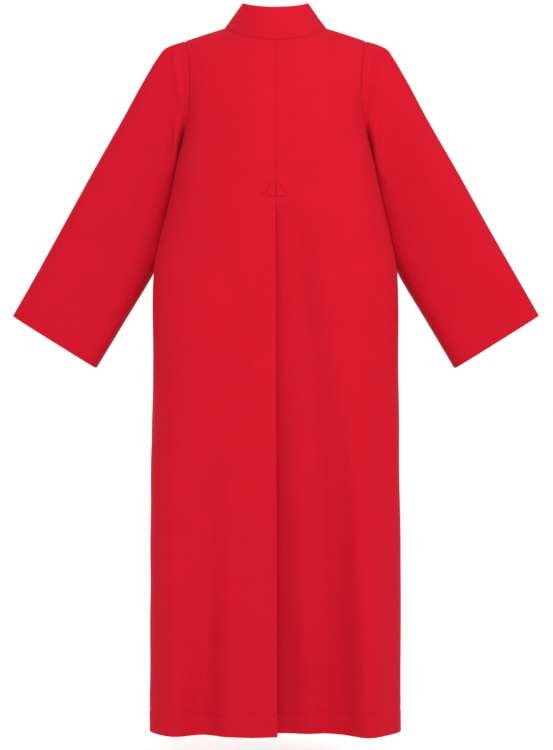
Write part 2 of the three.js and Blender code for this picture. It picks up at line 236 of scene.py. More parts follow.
# %% A point of a panel
def roll(z):
    """Radius of the rolled inner edge of a back."""
    return mix(SEAM_ROLL, FOLD_ROLL, smooth((PLEAT_TOP - z) / 60))


def inner_edge(name, z):
    """Where a panel's flat part starts: past the centre line on a front, and at the rolled
    edge on a back."""
    if name.startswith("front"):
        return -LAP["over"] + 0 * z
    if name == "back_left":
        return roll(z) - pleat_size("edge", z) * (z < PLEAT_TOP)
    return SEAM_ROLL + 0 * z


def panel_point(name, across, down):
    """The section is y = depth * (1 - |x * reach / half|^square)^(1 / square). Above the
    underarm the cloth rises to it from the top edge along a rounded quarter turn."""
    face, side = PANELS[name]
    share = np.minimum(down, 1)
    top_y, top_z = top_edge(face, mix(inner_edge(name, 0), SHOULDER["half"], across))
    z = np.where(down < 1, mix(top_z, UNDERARM_Z, share), mix(UNDERARM_Z, HEM_Z, down - 1))
    half = np.where(down < 1, armhole_half(share), body_half(z))
    level = np.minimum(z, UNDERARM_Z)
    x = mix(inner_edge(name, z), half, across)
    reach = 1 - EASE * (1 - share**2) ** 1.5
    square = body_square(level)
    inside = np.clip(1 - (np.abs(x) * reach / half) ** square, 0, 1)
    section = body_depth[face](level) * inside ** (1 / square)
    turn = mix(ROUND["neck"], ROUND["shoulder"], smooth(np.abs(x) / SHOULDER["half"]))
    y = mix(top_y, section, (1 - (1 - share) ** turn) ** (1 / turn)) + fold_stand(name, x, z)
    if name == "back_right":
        y = y - pleat_sink(x, z)
    if name == "front_right":
        y = y - LAP["tuck"] * (1 - smoothstep(x, LAP["over"], LAP["over"] + LAP["blend"]))
    return np.stack([side * x, face * np.maximum(y, CLOTH / 2), z], -1)


# %% [markdown]
# ## Small creases
# Worn cloth also has small marks: a drag line from the armhole, a dent beside the collar, a
# soft ridge where the skirt starts to flare. They are listed one by one, uneven in length, depth
# and spacing, because a repeated or purely random pattern reads as a texture and not as cloth.
# Each runs along a bowed line and fades at both ends. A slow, slight unevenness goes under them.

# %% The creases of each panel, as distance from the centre line and height
CREASE_COLUMNS = "x0 z0 x1 z1 width depth bow"
CREASES = {
    "back_left": table(
        CREASE_COLUMNS,
        (108, -22, 140, -62, 11, -1.6, 4),
        (150, -150, 168, -330, 20, 2.4, -6),
        (92, -70, 128, -250, 34, -1.6, 10),
        (30, -120, 44, -300, 30, 1.2, 4),
        (178, -262, 214, -420, 16, -2.2, 5),
        (70, -350, 96, -640, 38, -2.2, -10),
        (152, -470, 176, -860, 34, 2.2, 8),
        (214, -520, 226, -900, 22, -2.4, -4),
        (86, -900, 92, -1330, 30, 2.0, 6),
        (176, -1010, 184, -1390, 22, -2.2, -5),
    ),
    "back_right": table(
        CREASE_COLUMNS,
        (112, -28, 136, -58, 12, -1.2, -3),
        (128, -66, 152, -150, 24, -2.8, 4),
        (160, -190, 172, -330, 17, 1.8, -5),
        (60, -90, 84, -280, 36, -1.3, -8),
        (182, -280, 226, -470, 17, -2.0, 6),
        (150, -360, 150, -560, 26, -1.8, 6),
        (214, -640, 222, -1010, 20, -2.4, 4),
        (118, -700, 142, -1120, 20, -1.8, -6),
        (228, -1060, 224, -1390, 16, 1.8, 3),
    ),
    "front_left": table(
        CREASE_COLUMNS,
        (112, -60, 150, -190, 20, -2.2, 8),
        (60, -130, 96, -330, 30, 1.8, -8),
        (170, -250, 214, -440, 18, -2.4, 6),
        (34, -360, 46, -700, 20, -1.5, 5),
        (118, -480, 126, -800, 28, -2.2, 6),
        (206, -620, 214, -1060, 24, -2.6, 5),
        (50, -860, 40, -1340, 24, 2.2, -6),
        (124, -980, 132, -1390, 24, -2.0, 4),
    ),
    "front_right": table(
        CREASE_COLUMNS,
        (120, -64, 148, -170, 22, -2.6, -6),
        (70, -150, 110, -350, 26, 1.6, 8),
        (176, -262, 208, -400, 18, -2.0, 5),
        (54, -420, 62, -820, 24, -2.0, -6),
        (150, -520, 146, -900, 30, 2.4, -5),
        (222, -700, 226, -1120, 20, -2.2, 4),
        (66, -1000, 60, -1380, 26, 2.0, 5),
    ),
}


def creases(rows, x, z):
    """The sum of depth * sin(pi * u)^0.8 * exp(-(v / width)^2), with u along each crease's line
    and v off it, where the line bows to one side by bow * 4u(1 - u)."""
    total = 0
    for x0, z0, x1, z1, width, depth, bow in zip(*rows.values()):
        length = np.hypot(x1 - x0, z1 - z0)
        along = ((x - x0) * (x1 - x0) + (z - z0) * (z1 - z0)) / length**2
        off = ((x - x0) * (z1 - z0) - (z - z0) * (x1 - x0)) / length
        u = np.clip(along, 0, 1)
        line = off - bow * 4 * u * (1 - u)
        total = total + depth * np.sin(np.pi * u) ** 0.8 * np.exp(-((line / width) ** 2))
    return total


def unevenness(x, z, seed, size=0.22):
    """A sum of ten plane waves, 70 to 260 mm long, in seeded directions."""
    draw = np.random.default_rng(seed)
    total = 0
    for length, turn, phase in zip(
        draw.uniform(70, 260, 10), draw.uniform(0, np.pi, 10), draw.uniform(0, 2 * np.pi, 10)
    ):
        wave = (x * np.cos(turn) + z * np.sin(turn) * 0.6) * 2 * np.pi / length + phase
        total = total + size * length / 130 * np.sin(wave)
    return total


print("small creases:", {name: len(rows["x0"]) for name, rows in CREASES.items()})

# %% [markdown]
# ## Working on a grid of points
# A piece of cloth is a grid with a row for each height. Four things are done to such a grid: its
# normals are worked out, it is pushed in or out along them, an edge is turned in as a seam
# allowance, and a hem is turned up inside. Each is one operation on whole arrays.


# %% Grid helpers
def unit(vectors):
    """Each vector, divided by its length."""
    return vectors / np.maximum(np.linalg.norm(vectors, axis=-1, keepdims=True), 1e-9)


def grid_normals(grid, outward):
    """The cross product of the differences along a row and down a column, times `outward`."""
    return unit(np.cross(np.gradient(grid, axis=1), np.gradient(grid, axis=0))) * outward


def distance_to(grid, edge):
    """How far each point of a grid lies from the edge point of its own row or column."""
    return np.linalg.norm(grid - edge, axis=-1)


def seam_dip(distance, depth, width):
    """The cloth sinks beside a seam: depth * exp(-(distance / width)^2)."""
    return -depth * np.exp(-((distance / width) ** 2))


def allowance(edge, normal, depths=(0.9, 2.4, 5)):
    """The rows of a seam allowance, turned straight in from an edge."""
    return np.stack([edge - normal * depth for depth in depths])


HEM_ROLL = 0.575  # radius of a pressed hem's edge, between the middles of its two layers


def turned_up(grid, normals, height):
    """The rows of a hem: half a circle round the last row, and then back over the inside of
    the grid as far as `height` from the edge."""
    edge, normal = grid[-1], normals[-1]
    along = unit(grid[-1] - grid[-3])
    turns = np.radians([36, 72, 108, 144, 180])[:, None, None]
    curl = edge - normal * HEM_ROLL + HEM_ROLL * (normal * np.cos(turns) + along * np.sin(turns))
    reach = distance_to(grid, edge).max(axis=1)
    keep = np.flatnonzero((reach < height) & (reach > 0))[::-1]
    return np.concatenate([curl, grid[keep] - normals[keep] * 2 * HEM_ROLL])


# %% [markdown]
# ## Putting a grid into a mesh
# The points go in as one array and so do the faces. A UV map in metres, measured along the
# cloth, goes with them, so that the weave later keeps its scale and follows every fold. Solidify
# then gives the cloth its thickness.


# %% Mesh helpers
def cloth_lengths(grid):
    """UV in metres: the length along each row, and the length down the grid's columns."""
    across = np.linalg.norm(np.diff(grid, axis=1, prepend=grid[:, :1]), axis=-1).cumsum(axis=1)
    down = np.linalg.norm(np.diff(grid, axis=0, prepend=grid[:1]), axis=-1).cumsum(axis=0)
    return np.stack([across, -down.mean(axis=1, keepdims=True) + 0 * across], -1) / 1000


def put(name, points, faces, uvs):
    """A new object from points in millimetres, four-cornered faces and a UV for each corner."""
    mesh = bpy.data.meshes.new(name)
    mesh.vertices.add(len(points))
    mesh.vertices.foreach_set("co", (points / 1000).astype(np.float32).ravel())
    mesh.loops.add(faces.size)
    mesh.loops.foreach_set("vertex_index", faces.astype(np.int32).ravel())
    mesh.polygons.add(len(faces))
    mesh.polygons.foreach_set("loop_start", np.arange(0, faces.size, 4, dtype=np.int32))
    layer = mesh.uv_layers.new(name="cloth")
    layer.data.foreach_set("uv", uvs[faces.ravel()].astype(np.float32).ravel())
    mesh.polygons.foreach_set("use_smooth", np.ones(len(faces), bool))
    mesh.update()
    mesh.validate()
    piece = bpy.data.objects.new(name, mesh)
    bpy.context.scene.collection.objects.link(piece)
    return piece


def grid_faces(rows, columns, outward):
    """The corners of each cell of a grid, turned so that the faces point outwards."""
    row, column = np.mgrid[0 : rows - 1, 0 : columns - 1]
    first = row * columns + column
    faces = np.stack([first, first + 1, first + columns + 1, first + columns], -1).reshape(-1, 4)
    return faces if outward > 0 else faces[:, ::-1]


def sew(name, grid, outward, around=False, thickness=CLOTH):
    """A piece of cloth from a grid. A tube is given with its first column repeated at the end,
    which keeps the UV map whole; its doubled points are merged by index."""
    rows, columns = grid.shape[:2]
    faces = grid_faces(rows, columns, outward)
    points, uvs = grid.reshape(-1, 3), cloth_lengths(grid).reshape(-1, 2)
    piece = put(name, points, faces, uvs)
    if around:
        weld(piece)
    if thickness:
        wall = piece.modifiers.new("cloth", "SOLIDIFY")
        wall.thickness, wall.offset = thickness / 1000, 0
    print(f"{name}: {len(faces)} faces")
    return piece


def weld(piece, gap=0.01):
    """Merges the points of a piece that lie on each other, such as a tube's first and last."""
    work = bmesh.new()
    work.from_mesh(piece.data)
    bmesh.ops.remove_doubles(work, verts=work.verts, dist=gap / 1000)
    work.to_mesh(piece.data)
    work.free()


# %% [markdown]
# ## The panels' grids
# The columns are closest together at the seams, where the cloth dips and turns, and at the side,
# where the body's section bends most. The neckline's own columns follow the ellipse.

# %% Columns and rows
EDGE = np.array([0, 0.003, 0.007, 0.012, 0.02, 0.032])
SHARES = np.concatenate([EDGE, np.linspace(0.048, 0.975, 56), [0.984, 0.991, 0.996, 1]])
NECK_SHARE, CROWD = 0.55, 0.75
HEM_UP, STITCH_BELOW = 45, 5  # height of the turned-up hem, and how far its stitches lie below
CORNER_REACH, CORNER_PASSES = 62, 90  # how far and how often the neck corner is averaged


def panel_columns(name, down):
    """Each column's `across` at a height: the neckline's spacing at the top, turning into a
    spacing that crowds towards the side by CROWD of a quarter sine."""
    start = inner_edge(name, 0)
    neck = start + (NECK["half"] - start) * np.sin(np.minimum(SHARES / NECK_SHARE, 1) * np.pi / 2)
    beyond = np.maximum((SHARES - NECK_SHARE) / (1 - NECK_SHARE), 0)
    top = neck + beyond * (SHOULDER["half"] - NECK["half"])
    top = (top - start) / (SHOULDER["half"] - start)
    low = mix(SHARES, np.sin(SHARES * np.pi / 2), CROWD)
    return mix(top, low, smooth(down))


upper = (1 - np.cos(np.linspace(0, np.pi, 70))) / 2
SKIRT_ROWS = [(-240, -1338, 170), (-1342, -1368, 24), (-1372, HEM_Z + HEM_ROLL, 8)]
skirt_z = np.concatenate([np.linspace(*rows) for rows in SKIRT_ROWS])
DOWNS = np.concatenate([upper, 1 + (UNDERARM_Z - skirt_z) / (UNDERARM_Z - HEM_Z)])[:, None]
print("a panel's grid:", len(DOWNS), "by", len(SHARES))


# %% A panel's visible cloth
def softened(grid, side, down):
    """The neckline ends in a corner, and the cloth below it must not keep a line from it. So
    each row there is averaged along itself again and again, by a weight of cos^2 of how far
    off the corner a point is, which rises from 0 at the seam and ends at the underarm."""
    off = np.clip((grid[..., 0] * side - NECK["half"]) / CORNER_REACH, -1, 1)
    near = np.cos(off * np.pi / 2) ** 2
    weight = (near * smooth(down / 0.1) * (1 - smoothstep(down, 0.55, 0.95)))[..., None]
    for _ in range(CORNER_PASSES):
        between = (np.roll(grid, 1, axis=1) + np.roll(grid, -1, axis=1)) / 2
        grid = mix(grid, between, weight)
    return grid


def hem_line(x):
    """The height of the hem's stitched line: a little uneven, as a line sewn by hand is."""
    height = HEM_Z + HEM_UP - STITCH_BELOW
    return height + 1.6 * np.sin(x / 34 + 0.6) + 0.9 * np.sin(x / 19)


def panel_cloth(name, seed):
    """The grid of a panel and its normals, with the creases, the hem's ridge and the dips
    beside its seams pushed in along the base surface's normals."""
    face, side = PANELS[name]
    base = softened(panel_point(name, panel_columns(name, DOWNS), DOWNS), side, DOWNS)
    normals = grid_normals(base, face * side)
    x, z = base[..., 0] * side, base[..., 2]
    push = creases(CREASES[name], x, z) + unevenness(x, z, seed)
    push = push * smooth((SHOULDER["z"] + 12 - z) / 60) * (1 - smoothstep(z, -140, 20) * 0.5)
    over_hem = z - hem_line(base[..., 0])
    to_side = distance_to(base, base[:, -1:])
    ridge = 0.5 * smooth(-over_hem / 3) + seam_dip(over_hem, 0.9, 2.8)
    push = (push + ridge) * (1 + seam_dip(to_side, 1, 6)) + seam_dip(to_side, 1.5, 2.6)
    push = push + seam_dip(distance_to(base, base[:1]), 1.0, 2.4)
    if face == BACK:
        push = push + seam_dip(x - SEAM_ROLL, 0.35, 1.6) * (z > PLEAT_TOP)
    grid = base + normals * push[..., None]
    return grid, grid_normals(grid, face * side)


CLOTHS = {name: panel_cloth(name, seed) for seed, name in enumerate(PANELS, 11)}

# %% [markdown]
# ## The pleat's hidden layers
# Behind the left back's folded edge the cloth runs back under it, and the right back runs under
# both, to a hidden seam. Above the pleat the same columns are the centre seam's allowance, so
# seam and pleat are one continuous piece of cloth, as they are when it is sewn.


# %% Hidden columns
def hidden_left(grid):
    """Half a circle round the rolled edge, then a straight run back to the hidden seam."""
    edge = grid[:, 0]
    z = edge[:, 2]
    radius = roll(z)[:, None]
    turn = np.radians([115, 140, 165, 190, 215, 240, 270])[None, :]
    curl_x = edge[:, :1] + radius * np.cos(turn)
    curl_y = edge[:, 1:2] - radius + radius * np.sin(turn)
    run = np.linspace(0.06, 1, 12)[None, :]
    under_x = mix(edge[:, :1], pleat_size("tuck", z)[:, None], run)
    seam_y = edge[:, 1:2] - pleat_size("slope", z)[:, None]
    under_y = mix(edge[:, 1:2] - 2 * radius, seam_y, run)
    x, y = np.hstack([curl_x, under_x]), np.hstack([curl_y, under_y])
    return np.stack([x, y, z[:, None] + 0 * x], -1)[:, ::-1]


def hidden_right(grid, left_grid):
    """Down beside the folded edge, then on under it to the same hidden seam."""
    edge, fold = grid[:, 0], left_grid[:, 0]
    z = edge[:, 2]
    below = np.minimum(edge[:, 1] - 0.8, fold[:, 1] - 2 * roll(z) - 1.6)[:, None]
    drop = np.array([0.35, 0.8, 1])[None, :]
    drop_x = edge[:, :1] + np.array([0.55, 0.8, 1.2])[None, :]
    drop_y = mix(edge[:, 1:2], below, drop)
    run = np.linspace(0.08, 1, 11)[None, :]
    under_x = mix(edge[:, :1] + 1.2, pleat_size("tuck", z)[:, None], run)
    seam_y = fold[:, 1:2] - pleat_size("slope", z)[:, None] - CLOTH * 1.04
    under_y = mix(below, np.minimum(seam_y, below - 0.2), run)
    x, y = np.hstack([drop_x, under_x]), np.hstack([drop_y, under_y])
    return np.stack([x, y, z[:, None] + 0 * x], -1)[:, ::-1]


# %% [markdown]
# Now each panel is finished: hidden layers, the hem turned up inside, and allowances turned in
# along the side, the armhole, the shoulder and the neckline. An allowance also closes its seam,
# so no light shows between two pieces.


# %% Sew the four panels
SEAM_HALF = 0.4  # the side seam's two allowances are pressed together, this far from its middle
TOP_PASSES, TOP_FALL = 60, 0.35  # averaging of the top allowance's direction, and its least fall


def finish_panel(name):
    """A panel's whole cloth as one grid, sewn into a piece."""
    face, side = PANELS[name]
    grid, normals = CLOTHS[name]
    outward = face * side
    if name == "back_left":
        grid = np.concatenate([hidden_left(grid), grid], axis=1)
    elif name == "back_right":
        grid = np.concatenate([hidden_right(grid, CLOTHS["back_left"][0]), grid], axis=1)
    normals = grid_normals(grid, outward)
    inside = allowance(grid[:, -1], normals[:, -1]).transpose(1, 0, 2)
    inside[grid[:, -1, 2] < UNDERARM_Z, :, 1] = face * SEAM_HALF
    edge_normals = np.repeat(normals[:, -1:], inside.shape[1], axis=1)
    grid = np.concatenate([grid, inside], axis=1)
    normals = np.concatenate([normals, edge_normals], axis=1)
    inwards = normals[0].copy()
    for _ in range(TOP_PASSES):
        inwards[1:-1] = (inwards[:-2] + inwards[2:]) / 2
    inwards[:, 2] = np.maximum(inwards[:, 2], TOP_FALL)
    top = allowance(grid[0], unit(inwards))[::-1]
    grid = np.concatenate([top, grid, turned_up(grid, normals, HEM_UP)])
    return sew(name + "_cloth", grid, outward)


panels = {name: finish_panel(name) for name in PANELS}

# %% [markdown]
# ## The sleeves
# A sleeve is a tube of cloth set into the armhole. Its head stands up beside the seam, rolls
# over, and falls away along the arm, so a soft edge and a valley follow the armhole at a finger's
# width. The tube's rings are superellipses between an outer and an inner point, eased into the
# armhole's exact shape over the first ones.

# %% Sizes of the sleeve
SLEEVE = table(
    "ring out_x out_y out_z in_x in_y in_z back front",
    (0, 180.5, 0, -26, 189, 0, -235, 66, 62),
    (1, 203, 0, -33, 191.5, -9, -247, 59, 60),
    (2, 221, -1, -42, 195, -22, -266, 61, 58),
    (3, 237, -3, -62, 199.5, -36, -292, 59, 55),
    (4, 265, -8, -107, 207, -48, -334, 53, 51),
    (5, 307.5, -18, -182, 216, -57, -385, 47, 47),
    (6, 360, -30, -272, 227, -61, -441, 43, 43),
    (7, 419.5, -42, -377, 250, -63, -487, 41, 41),
    (8, 476, -54, -475, 305, -69, -577, 40, 40),
    (9, 533, -64, -572, 365.5, -74, -677, 38, 38),
)
SLEEVE_SQUARE = {"outer": 2.8, "inner": 4.5}  # the inner half lies flatter, against the body
SLEEVE_HEAD = 2.5
sleeve_curve = {column: curve(SLEEVE, "ring", column) for column in SLEEVE}


# %% A point of a sleeve
def tube_point(turn, ring):
    """The wearer's left tube: mix(in, out, (1 + s) / 2) with s = sign(c)|c|^(2/square) for
    c = cos(turn), and y moved out by the depth times |sin(turn)|^(2/square)."""
    power = 2 / np.where(np.cos(turn) < 0, SLEEVE_SQUARE["inner"], SLEEVE_SQUARE["outer"])
    swing = signed_power(np.cos(turn), power)
    inner, outer = (
        np.stack([sleeve_curve[f"{edge}_{axis}"](ring) for axis in "xyz"], -1)
        for edge in ("in", "out")
    )
    point = mix(inner, outer, (1 + swing)[..., None] / 2)
    behind = np.sin(turn) >= 0
    deep = np.where(behind, sleeve_curve["back"](ring), -sleeve_curve["front"](ring))
    point[..., 1] += deep * np.abs(np.sin(turn)) ** power
    return point


def armhole_point(turn):
    """The left armhole's seam on the body, moved out by the thickness of the cloth."""
    down = (1 - np.cos(turn)) / 2
    behind = panel_point("back_left", 1, down)
    point = np.where(np.sin(turn)[..., None] >= 0, behind, panel_point("front_left", 1, down))
    point[..., 0] += 0.5 + CLOTH * smooth(down)
    return point


def sleeve_point(side, turn, ring):
    """The tube plus what is left of (armhole - tube's start), eased out over the head."""
    start = armhole_point(turn) - tube_point(turn, 0 * turn)
    point = tube_point(turn, ring) + start * (1 - smooth(ring / SLEEVE_HEAD))[..., None]
    return point * np.array([side, 1, 1])


# %% [markdown]
# The sleeve's creases are placed in its own coordinates: the turn around it, in degrees from its
# outer edge over the back, and the ring along it. Those are scaled to about a millimetre each
# before the same crease formula is used.

# %% The sleeve's creases and head
SLEEVE_CREASES = {
    LEFT: table(
        CREASE_COLUMNS,
        (150, 190, 100, 330, 13, -2.6, 8),
        (172, 230, 140, 420, 12, -2.2, 6),
        (60, 300, 88, 470, 20, 1.8, -8),
        (120, 420, 60, 520, 16, -1.8, 9),
        (30, 480, 60, 620, 18, 1.4, 5),
        (200, 220, 250, 400, 15, -2.4, -8),
        (300, 200, 262, 380, 18, -2.0, 7),
        (230, 440, 300, 560, 18, 1.8, 8),
    ),
    RIGHT: table(
        CREASE_COLUMNS,
        (148, 180, 112, 350, 14, -2.4, 7),
        (174, 260, 150, 450, 12, -2.0, 5),
        (70, 320, 92, 440, 18, 1.6, -7),
        (110, 400, 48, 540, 18, -2.0, 10),
        (26, 500, 50, 600, 16, 1.4, 4),
        (204, 240, 240, 380, 14, -2.2, -7),
        (292, 220, 270, 400, 18, -2.2, 8),
        (240, 460, 310, 540, 18, 1.6, 7),
    ),
}
RING_LENGTH, CUFF_UP = 70, 32
LAST_RING, CUFF_ROLL = 9, 0.006  # the rolled cuff takes this share of a ring
HEAD_RIDGE, HEAD_VALLEY = 1.8, 12  # how far the head stands out, and falls away past it
ARM_DEEP, ARM_WIDE = 60, 40  # a round arm's half sizes, which the unevenness is laid on


def sleeve_head(degrees, ring):
    """A ridge that leaves the shoulder a ring out and closes on the seam near the underarm. Past
    it the cloth drops by HEAD_VALLEY * (1 - exp(-past / 0.36)), and comes back further on."""
    turn = np.minimum(degrees, 360 - degrees) / 180
    window = smoothstep(turn, 0.1, 0.28) * (1 - smoothstep(turn, 0.47, 0.64))
    edge = mix(1.15, 0.5, smoothstep(turn, 0.46, 0.72))
    ridge = HEAD_RIDGE * np.exp(-(((ring - edge) / 0.4) ** 2))
    past = np.maximum(ring - edge, 0)
    valley = -HEAD_VALLEY * (1 - np.exp(-past / 0.36)) * (1 - smoothstep(past, 0.7, 4.2))
    return (ridge + valley) * window * smooth(ring / 0.3)


def tube_normals(grid, outward):
    """The normals of a tube, whose first and last columns lie on each other and share theirs."""
    normals = grid_normals(grid, outward)
    normals[:, [0, -1]] = unit(normals[:, :1] + normals[:, -1:])
    return normals


def sleeve_cloth(side, seed):
    """The grid of a sleeve, its creases and its seams pushed in along the normals."""
    arm = LAST_RING * np.linspace(0, 1, 150) ** 1.25 * 0.965
    cuff = np.linspace(8.72, LAST_RING - CUFF_ROLL, 12)
    rings = np.concatenate([arm, cuff])[:, None]
    degrees = np.linspace(0, 360, 145)[None, :]
    turn, ring = np.broadcast_arrays(np.radians(degrees), rings)
    base = sleeve_point(side, turn, ring)
    normals = tube_normals(base, -side)
    around, along = np.degrees(turn), ring * RING_LENGTH
    push = creases(SLEEVE_CREASES[side], around, along)
    push = push + unevenness(ARM_DEEP * np.sin(turn), along + ARM_WIDE * np.cos(turn), seed)
    beside_body = np.exp(-(((around - 180) / 34) ** 2)) * (1 - smooth((ring - 3.5) / 3))
    push = push * smooth((ring - 0.8) / 2) * (1 - beside_body) + sleeve_head(around, ring)
    push = push + seam_dip(distance_to(base, base[:1]), 1.2, 2.4)
    push = push + seam_dip(np.abs(around - 180) * 1.1, 0.8, 2.2) * smooth((ring - 6) / 0.5)
    grid = base + normals * push[..., None]
    grid[:, -1] = grid[:, 0]
    return grid, tube_normals(grid, -side)


# %% Sew the sleeves
def finish_sleeve(name, side, seed):
    """A sleeve's tube with its allowance at the armhole and its cuff turned in."""
    grid, normals = sleeve_cloth(side, seed)
    top = allowance(grid[0], normals[0])[::-1]
    grid = np.concatenate([top, grid, turned_up(grid, normals, CUFF_UP)])
    return sew(name, grid, -side, around=True)


sleeves = {
    LEFT: finish_sleeve("sleeve_left_cloth", LEFT, 21),
    RIGHT: finish_sleeve("sleeve_right_cloth", RIGHT, 22),
}

# %% [markdown]
# ## The collar
# The stand collar is two layers with a stiffening between them, about 3 mm thick, closed over
# its top edge. So it isn't a sheet with a thickness but a closed profile, a flat loop with round
# ends, carried along the neckline from one front edge to the other, where it is rounded off.

# %% Sizes and a point of the collar
COLLAR = {"half": 65, "deep": {BACK: 50, FRONT: 80}, "z": 50, "drop": {BACK: 16, FRONT: 65}}
COLLAR_GAP, COLLAR_THICK = 1.2, 2.8
COLLAR_COLUMNS, COLLAR_TALL = 241, 62  # columns between its rounded ends, and its cloth's height
COLLAR_CAP = 0.022  # rise of its round edges, as a share of its height


def collar_point(turn, up):
    """The collar's middle: from (neck half * sin, deep * cos) at its base to its own top edge,
    where a power of |cos| dips both edges towards the centre lines."""
    swing, reach = np.sin(turn), np.cos(turn)
    behind = reach >= 0

    def by_face(sizes):
        return np.where(behind, sizes[BACK], sizes[FRONT])

    dip = np.abs(reach) ** by_face(NECK_BEND)
    base_z = 0.4 - by_face(NECK["drop"]) * dip
    top_z = COLLAR["z"] - by_face(COLLAR["drop"]) * dip
    x = mix(NECK["half"], COLLAR["half"], up) * swing
    y = mix(by_face(NECK["deep"]), by_face(COLLAR["deep"]), up) * reach
    return np.stack([x, y, mix(base_z, top_z, up)], -1)


# %% Carry the collar's profile along the neckline
COLLAR_CREASES = table(
    CREASE_COLUMNS,
    (-52, 52, -22, 30, 7, -0.9, 3),
    (-40, 20, -6, 34, 9, 0.8, -3),
    (14, 50, 34, 22, 8, -0.7, 3),
    (62, 46, 78, 14, 9, -0.8, 4),
    (-96, 44, -74, 12, 9, 0.8, 4),
    (120, 40, 138, 16, 9, -0.7, -3),
    (-150, 42, -128, 14, 9, -0.7, 3),
)


def collar_cloth():
    """The loop's points are (up, offset): up the outer face, half a circle over the top, down
    the inner face and round the bottom. The offset goes along the middle's normals."""
    thick = COLLAR_THICK / 2
    arc = np.radians(np.linspace(0, 180, 9))
    rise = np.linspace(0, 1, 20)
    cap = COLLAR_CAP * np.sin(arc[1:-1])
    up = np.concatenate([rise, 1 + cap, rise[::-1], -cap])
    offset = np.concatenate([rise * 0 + 1, np.cos(arc[1:-1]), rise * 0 - 1, -np.cos(arc[1:-1])])
    last = np.pi - np.radians(COLLAR_GAP / 2)
    ends = np.radians(np.linspace(0, 90, 6))
    between = np.linspace(-last, last, COLLAR_COLUMNS)
    turns = np.concatenate([ends * 0 - last, between, ends * 0 + last])
    slim = np.concatenate([np.sin(ends), between * 0 + 1, np.sin(ends[::-1])])
    shift = np.concatenate([-np.cos(ends), between * 0, np.cos(ends[::-1])]) * thick * 0.9
    turn, height = np.broadcast_arrays(turns[:, None], up[None, :])
    middle = collar_point(turn, height)
    near = 1e-3
    along = unit(collar_point(turn + near, height) - collar_point(turn - near, height))
    rising = unit(collar_point(turn, height + near) - collar_point(turn, height - near))
    normal = unit(np.cross(along, rising))
    x, z = np.degrees(turn), np.clip(height, 0, 1) * COLLAR_TALL
    push = creases(COLLAR_CREASES, x, z) * 1.5 * smooth(z / 12) + 0.18 * np.sin(x / 9)
    push = push * (1 - np.abs(x) / 200)
    grid = middle + normal * (offset[None, :] * slim[:, None] * thick + push)[..., None]
    return grid + along * shift[:, None, None]


collar_grid = collar_cloth()
collar_grid = np.concatenate([collar_grid, collar_grid[:, :1]], axis=1)
collar = sew("collar_cloth", collar_grid, 1, around=True, thickness=0)

# %% [markdown]
# ## Buttons covered in cloth
# A covered button is a domed shell with a circle of the garment's cloth pulled over it, so it
# has a soft rim, and fine gathers where the cloth goes round to the back. A lathe profile gives
# the dome, and a slight wave on its radius the gathers.

# %% Where things sit on the cloth
BUTTON = {"count": 12, "first": -112, "pitch": 74, "radius": 7.5, "height": 4.4}
BUTTON_BACK = {"end": 0.35, "radius": 0.84}  # shares of the profile and of the radius


def on_cloth(name, x, z):
    """The point and the normal of a panel's cloth at a distance from the centre line and a
    height, taken between the four nearest points of its grid."""
    grid, normals = CLOTHS[name]
    side = PANELS[name][1]
    middle = grid[:, np.abs(grid[-1, :, 0] * side - x).argmin(), 2]
    row = np.interp(-z, -middle, np.arange(len(middle)))
    low = min(int(row), len(middle) - 2)
    spots = []
    for index in (low, low + 1):
        column = np.interp(x, grid[index, :, 0] * side, np.arange(grid.shape[1]))
        left = min(int(column), grid.shape[1] - 2)
        pair = [np.concatenate([grid[index, c], normals[index, c]]) for c in (left, left + 1)]
        spots.append(mix(pair[0], pair[1], column - left))
    spot = mix(spots[0], spots[1], row - low)
    return spot[:3], unit(spot[3:])


def upright(point, normal, lean=0.0):
    """The three axes of something that lies on the cloth: along it, up it, and out of it. It
    is turned in the cloth by `lean` degrees."""
    up = unit(np.array([0, 0, 1]) - normal * normal[2])
    along = np.cross(up, normal)
    turn = np.radians(lean)
    sideways = along * np.cos(turn) + up * np.sin(turn)
    return np.stack([sideways, up * np.cos(turn) - along * np.sin(turn), normal])


# %% Make the buttons
def quarter(share):
    """A quarter of a sine, from 0 to 1."""
    return np.sin(np.clip(share, 0, 1) * np.pi / 2)


def button_grid():
    """Radius and height of the profile: out over the flat back, round the rim, and in over the
    dome, with gathers that fade towards the top."""
    end, flat = BUTTON_BACK["end"], BUTTON_BACK["radius"]
    t = np.linspace(0, 1, 22)
    front = (t - end) / (1 - end)
    over = np.clip((front - end) / (1 - end), 0, 1)
    rim = np.where(t < end, flat * quarter(t / end), flat + (1 - flat) * quarter(front / end))
    dome = np.clip(np.cos(over * np.pi / 2), 0, 1) ** 0.72
    radius = np.where(front > end, dome, rim)
    height = np.where(t < end, 0, quarter(front) ** 1.25)
    turn = np.linspace(0, 2 * np.pi, 49)[None, :]
    gathers = 1 + 0.012 * np.cos(16 * turn) * np.exp(-(((t - 0.42) / 0.14) ** 2))[:, None]
    radius = radius[:, None] * gathers * BUTTON["radius"]
    height = height[:, None] * BUTTON["height"] + 0 * turn
    return np.stack([radius * np.cos(turn), radius * np.sin(turn), height], -1)


BUTTON_GRID = button_grid()


def sew_button(index):
    """One button, standing on the left front's cloth at the centre line."""
    z = BUTTON["first"] - index * BUTTON["pitch"]
    point, normal = on_cloth("front_left", 0, z)
    place = point + normal * (CLOTH / 2 + 0.5)
    grid = BUTTON_GRID @ upright(point, normal) + place
    return sew(f"button_{index + 1:02d}_covered", grid, -1, around=True, thickness=0)


buttons = [sew_button(index) for index in range(BUTTON["count"])]

